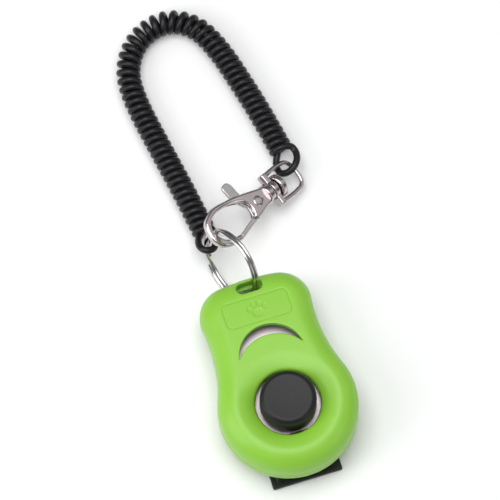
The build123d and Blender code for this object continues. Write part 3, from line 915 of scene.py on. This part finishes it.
for plan, well in zip(CLIP_WELLS, wells):
    seat = clip_solid.loop(plan, CLIP_SEAT)
    clip_solid.wall(well, seat)
    clip_solid.cap(seat)
clip = clip_solid.piece("clip_moulding", satin_black)
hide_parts("clip_foot", "clip_leg")
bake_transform(clip)

# ---- split ring ----
# Spring wire in two turns that lie against each other. Between its two free ends the wire steps from one
# turn to the next.
RING_R = 11.2
RING_WIRE_R = 0.55
RING_TURNS = 1.967
RING_STEP = 0.022
RING_GAP_AT = math.radians(214)


def polished_steel(name, light, dark, rough):
    """Bright plating: fine drawn lines and faint cloudy handling marks."""
    finish = Finish(name)
    marks = finish.noise(2.5, finish.place(), detail=5)
    lines = finish.noise(0.3, finish.place(stretch=(1, 0.3, 1)), detail=2)
    return finish.set(
        Base_Color=finish.colours(marks, dark, light),
        Metallic=1.0,
        Roughness=rough + 0.10 * marks,
        Normal=finish.bump(lines, 0.002),
    )


def split_wire(material):
    """The ring's node tree: a level spiral, its step, and a round wire swept along it."""
    tree = bpy.data.node_groups.new("split_ring_wire", "GeometryNodeTree")
    sizes = {
        "Ring Radius": RING_R * MM, "Wire Radius": RING_WIRE_R * MM, "Turns": RING_TURNS, "Step": RING_STEP,
    }
    for name, value in sizes.items():
        socket = tree.interface.new_socket(name, in_out="INPUT", socket_type="NodeSocketFloat")
        socket.default_value = value
    tree.interface.new_socket("Wire", in_out="OUTPUT", socket_type="NodeSocketGeometry")
    nodes = Nodes(tree)
    ring_radius, wire, turns, step = (nodes.add("NodeGroupInput", output=name) for name in sizes)
    spiral = nodes.add("GeometryNodeCurveSpiral", {}, {
        "Resolution": 110, "Rotations": turns, "Height": 0.0,
        "Start Radius": ring_radius, "End Radius": ring_radius,
    })
    share = nodes.add("GeometryNodeSplineParameter", output="Factor")
    rise = nodes.add("ShaderNodeMapRange", {"interpolation_type": "SMOOTHSTEP"}, {
        "Value": share, "From Min": 0.5 - step, "From Max": 0.5 + step,
        "To Min": 0.0 - wire, "To Max": wire,
    })
    offset = nodes.add("ShaderNodeCombineXYZ", {}, {"Z": rise})
    line = nodes.add("GeometryNodeSetPosition", {}, {"Geometry": spiral, "Offset": offset})
    section = nodes.add("GeometryNodeCurvePrimitiveCircle", {}, {"Resolution": 20, "Radius": wire})
    swept = {"Curve": line, "Profile Curve": section, "Fill Caps": True}
    solid = nodes.add("GeometryNodeCurveToMesh", {}, swept)
    real = nodes.add("GeometryNodeRealizeInstances", {}, {"Geometry": solid})
    finished = nodes.add("GeometryNodeSetMaterial", {}, {"Geometry": real, "Material": material})
    tree.links.new(finished.socket, tree.nodes.new("NodeGroupOutput").inputs[0])
    return tree


def generated(name, tree, place):
    """The plain mesh that a node tree makes, moved to its place."""
    holder = bpy.data.objects.new(name, bpy.data.meshes.new(name))
    bpy.context.scene.collection.objects.link(holder)
    holder.modifiers.new("tree", "NODES").node_group = tree
    made = holder.evaluated_get(bpy.context.evaluated_depsgraph_get())
    mesh = bpy.data.meshes.new_from_object(made)
    holder.modifiers.clear()
    holder.data = mesh
    mesh.transform(place)
    mesh.shade_smooth()
    mesh.set_sharp_from_angle(angle=math.radians(50))
    return holder


def frame_at(place, along, up):
    """The matrix whose X axis lies along one direction and whose Z axis lies along another."""
    up = Vector(up).normalized()
    across = up.cross(Vector(along)).normalized()
    turned = Matrix((across.cross(up), across, up)).transposed()
    return Matrix.Translation(Vector(place)) @ turned.to_4x4()


ring_steel = polished_steel("ring_steel", (0.62, 0.60, 0.60, 1), (0.46, 0.44, 0.45, 1), 0.08)
turn = joints["ring_turn"]
upright = frame_at(turn["pos_m"], (0, 0, 1), turn["axis"])
upright = upright @ Matrix.Rotation(RING_GAP_AT, 4, "Z")
ring = generated("split_ring_wire", split_wire(ring_steel), upright)
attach(ring, "split_ring")
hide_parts("split_ring")

# ---- clasp: hook and body ----
# A nickel-plated casting. Its bow curls round to the gate, its two cheeks hold the lever, and its collar
# holds the post of the swivel. U runs from the bow to the eye, V across the hook, W out of its face.
clasp_up = -Vector(joints["lever_pull"]["axis"])
CLASP = frame_at(joints["lever_pull"]["pos_m"], joints["eye_swivel"]["axis"], clasp_up)
TO_U = Matrix.Rotation(math.pi / 2, 4, "Y")
HOOK_T = 2.4
BODY_T = 3.4
HOOK_ROUND = 0.75
LEVER_SLOT = 1.3
LEVER_SLOT_U = (-9.6, 3.4)
COLLAR = (3.7, 6.1, 3.1, 0.45)
HOOK_RUNS = [
    [(5.0, 2.9), (3.6, 2.85), (0, 3.9), (-3.5, 4.95), (-6.75, 5.78), (-10.8, 6.53), (-14.7, 6.75),
     (-18.9, 5.1), (-20.65, 2.5), (-21.1, -1.4), (-19.4, -4.2), (-16.4, -5.8), (-12.05, -6.25)],
    [(-12.05, -6.25), (-12.05, -4.55)],
    [(-12.05, -4.55), (-15.2, -3.95), (-17.7, -2.6), (-19.06, 0.85), (-17.9, 3.6), (-15.3, 4.75),
     (-12.8, 5.0), (-9.15, 4.57), (-5.66, 3.3), (-3.9, 1.7), (-3.5, -0.9), (-4.5, -3.1)],
    [(-4.5, -3.1), (-3.6, -4.35)],
    [(-3.6, -4.35), (-1.0, -3.75), (2.25, -2.96), (5.0, -2.9)],
    [(5.0, -2.9), (5.0, 2.9)],
]


def traced(runs, step=0.3):
    """A closed loop from smooth runs that meet in corners. Each run passes through all of its points."""
    loop = []
    for run in runs:
        run = np.array(run)
        ends = np.concatenate([[2 * run[0] - run[1]], run, [2 * run[-1] - run[-2]]])
        for a, b, c, d in zip(ends, ends[1:], ends[2:], ends[3:]):
            count = max(1, round(np.hypot(*(c - b)) / step))
            t = (np.arange(count) / count)[:, None]
            bend = (2 * a - 5 * b + 4 * c - d) * t**2 + (3 * b - a - 3 * c + d) * t**3
            loop += list(0.5 * (2 * b + (c - a) * t + bend))
    loop = np.array(loop)
    area = (loop[:, 0] * np.roll(loop[:, 1], -1) - np.roll(loop[:, 0], -1) * loop[:, 1]).sum()
    return loop if area > 0 else loop[::-1]


def plate(name, loop, holes, half, rounding, material, spacing=0.5, place=None):
    """A flat part with rounded edges and through holes. A rule of the plan gives half its thickness."""
    def face(points):
        fall = shoulder(distance(loop, points), rounding, rounding)
        for hole in holes:
            fall = np.maximum(fall, shoulder(distance(hole, points), rounding / 2, rounding / 2))
        return half(points) - fall

    free = hexagons(loop.min(axis=0), loop.max(axis=0), spacing)
    free = free[distance(loop, free) > rounding]
    rows = [grown(loop, -rounding * (1 - math.cos(a))) for a in np.linspace(0.3, math.pi / 2, 6)]
    for hole in holes:
        rows += [grown(hole, rounding / 2 * (1 - math.cos(a))) for a in (0.6, 1.1, math.pi / 2)]
    free = np.concatenate([free, *rows])
    solid = Solid()
    upper = solid.surface(loop, holes, free, face)
    lower = solid.surface(loop, holes, free, lambda points: -face(points))
    for one, other in zip(upper, lower):
        solid.wall(one, other)
    return solid.piece(name, material, 40, place)


def merged(piece, *steps):
    """The piece after each cutting or joining step, as a plain mesh."""
    for operation, other in steps:
        change = piece.modifiers.new(operation, "BOOLEAN")
        change.operation = operation
        change.solver = "EXACT"
        change.object = other
        made = piece.evaluated_get(bpy.context.evaluated_depsgraph_get())
        mesh = bpy.data.meshes.new_from_object(made)
        piece.modifiers.clear()
        piece.data = mesh
        bpy.data.objects.remove(other)
    piece.data.shade_smooth()
    piece.data.set_sharp_from_angle(angle=math.radians(40))
    return piece


def block(name, low, high, material, place):
    solid = Solid()
    plan = np.array([(low[0], low[1]), (high[0], low[1]), (high[0], high[1]), (low[0], high[1])])
    under, over = solid.loop(plan, low[2]), solid.loop(plan, high[2])
    solid.wall(under, over)
    solid.cap(under)
    solid.cap(over)
    return solid.piece(name, material, 30, place)


def turned(low, high, radius, rounding):
    """The profile of a plain turned part whose two rims are rounded."""
    arc = np.linspace(0, math.pi / 2, 7)
    rim = [(radius - rounding * (1 - math.sin(a)), rounding * (1 - math.cos(a))) for a in arc]
    upwards = [(r, low + rise) for r, rise in rim]
    return [(0.2, low), *upwards, *[(r, high - rise) for r, rise in rim[::-1]], (0.2, high)]


def hook_half(points):
    """Half the thickness: thin at the bow, thicker at the cheeks."""
    return (HOOK_T + (BODY_T - HOOK_T) * eased(-9.5, -3.5, points[:, 0])) / 2


nickel = polished_steel("nickel_plate", (0.66, 0.59, 0.60, 1), (0.52, 0.46, 0.47, 1), 0.17)
bore = circle(0, 0, 0.92, 0.3)
hook = plate("clasp_casting", traced(HOOK_RUNS), [bore], hook_half, HOOK_ROUND, nickel, place=CLASP)
collar = lathed("collar", turned(*COLLAR), nickel, sides=48, place=CLASP @ TO_U)
slot_low = (LEVER_SLOT_U[0], -20, -LEVER_SLOT / 2)
slot_high = (LEVER_SLOT_U[1], 20, LEVER_SLOT / 2)
opening = block("opening", slot_low, slot_high, nickel, CLASP)
hook = merged(hook, ("UNION", collar), ("DIFFERENCE", opening))
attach(hook, "clasp")
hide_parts("clasp_hook")

# ---- clasp: lever, rivet and spring ----
# A flat nickel-plated lever turns on a rivet through both cheeks: its thumb tab stands above the spine and
# its gate closes the bow. A leaf spring presses on its hub.
LEVER_T = 1.0
LEVER_RUNS = [
    [(-6.6, 4.9), (-6.9, 8.8), (-6.5, 9.9), (-5.4, 10.35), (-4.3, 10.1), (-3.5, 8.7), (-3.2, 5.3),
     (-1.9, 2.4), (0, 1.85), (1.3, 1.3), (1.85, 0), (1.3, -1.3), (0.4, -1.75)],
    [(0.4, -1.75), (-3.4, -4.1)],
    [(-3.4, -4.1), (-11.6, -6.05)],
    [(-11.6, -6.05), (-11.65, -4.6)],
    [(-11.65, -4.6), (-4.3, -2.75)],
    [(-4.3, -2.75), (-4.05, -1.4), (-4.1, 0.4), (-4.9, 1.6), (-6.6, 4.9)],
]
lever_nickel = polished_steel("lever_nickel", (0.66, 0.63, 0.63, 1), (0.52, 0.49, 0.49, 1), 0.20)
lever = plate("thumb_lever", traced(LEVER_RUNS), [circle(0, 0, 0.95, 0.3)],
              lambda points: np.full(len(points), LEVER_T / 2), 0.22, lever_nickel, 0.6, CLASP)
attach(lever, "lever")
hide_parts("clasp_lever")

RIVET_R = 0.9
RIVET_HEAD = (1.75, 0.4)
head_r, head_t = RIVET_HEAD
head = [(head_r * math.sin(a), BODY_T / 2 + head_t * math.cos(a)) for a in np.linspace(0.2, math.pi / 2, 9)]
profile = [(0.25, BODY_T / 2 + 0.25), *head, (RIVET_R, BODY_T / 2), (RIVET_R, -BODY_T / 2)]
profile += [(radius, -z) for radius, z in head[::-1]] + [(0.25, -BODY_T / 2 - 0.25)]
rivet = lathed("lever_pin", profile, nickel, sides=40, place=CLASP)
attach(rivet, "clasp")
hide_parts("lever_rivet")
spring_steel = polished_steel("spring_temper", (0.45, 0.45, 0.47, 1), (0.30, 0.30, 0.33, 1), 0.25)
finish_node("lever_spring", spring_steel)

# ---- clasp: swivel post and eye ----
# The post is pressed into the collar and its broad riveted head keeps the eye on. The eye is a flat bar with
# a wire bow for the strap.
POST_R = 1.3
POST_FIT = 0.06
POST_HEAD = (8.7, 10.8, 3.7, 0.5)
head = turned(*POST_HEAD)
profile = [(0.2, 3.3), (POST_R, 3.3), (POST_R, POST_HEAD[0]), *head[1:]]
post = lathed("swivel_pin", profile, nickel, 48, place=CLASP @ TO_U)
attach(post, "clasp")
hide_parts("swivel_post")

EYE_WIRE_R = 0.75
EYE_BAR = (6.4, 8.3, 5.6, 3.2)
EYE_BOSS_R = 2.9
bar = stadium(0, 2 * EYE_BAR[2], EYE_BAR[1] - EYE_BAR[0], 0.5, 0.25)
bar = np.stack([-bar[:, 1], bar[:, 0]], axis=1) + ((EYE_BAR[0] + EYE_BAR[1]) / 2, 0)
eye = plate("eye_bar", bar, [], lambda points: np.full(len(points), EYE_BAR[3] / 2), 0.5, nickel,
            0.5, CLASP)
hole_r = POST_R + POST_FIT
profile = [(0.2, 5), (hole_r, 5), (hole_r, 10), (0.2, 10)]
hole = lathed("hole", profile, nickel, 48, place=CLASP @ TO_U)
bow = [(7.4, 4.75, 0), (10.5, 4.9, 0), (13.4, 4.9, 0), (17.9, 4.4, 0), (18.7, 0, 0), (17.9, -4.4, 0),
       (13.4, -4.9, 0), (10.5, -4.9, 0), (7.4, -4.75, 0)]
wire = smooth_line([tuple(CLASP @ (Vector(point) * MM)) for point in bow], 14)
wire = tube("eye_bow", wire, EYE_WIRE_R * MM, 16, nickel)
boss = lathed("boss", turned(EYE_BAR[0], EYE_BAR[1], EYE_BOSS_R, 0.4), nickel, 48, place=CLASP @ TO_U)
eye = merged(eye, ("UNION", boss), ("UNION", wire), ("DIFFERENCE", hole))
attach(eye, "eye")
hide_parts("swivel_eye")
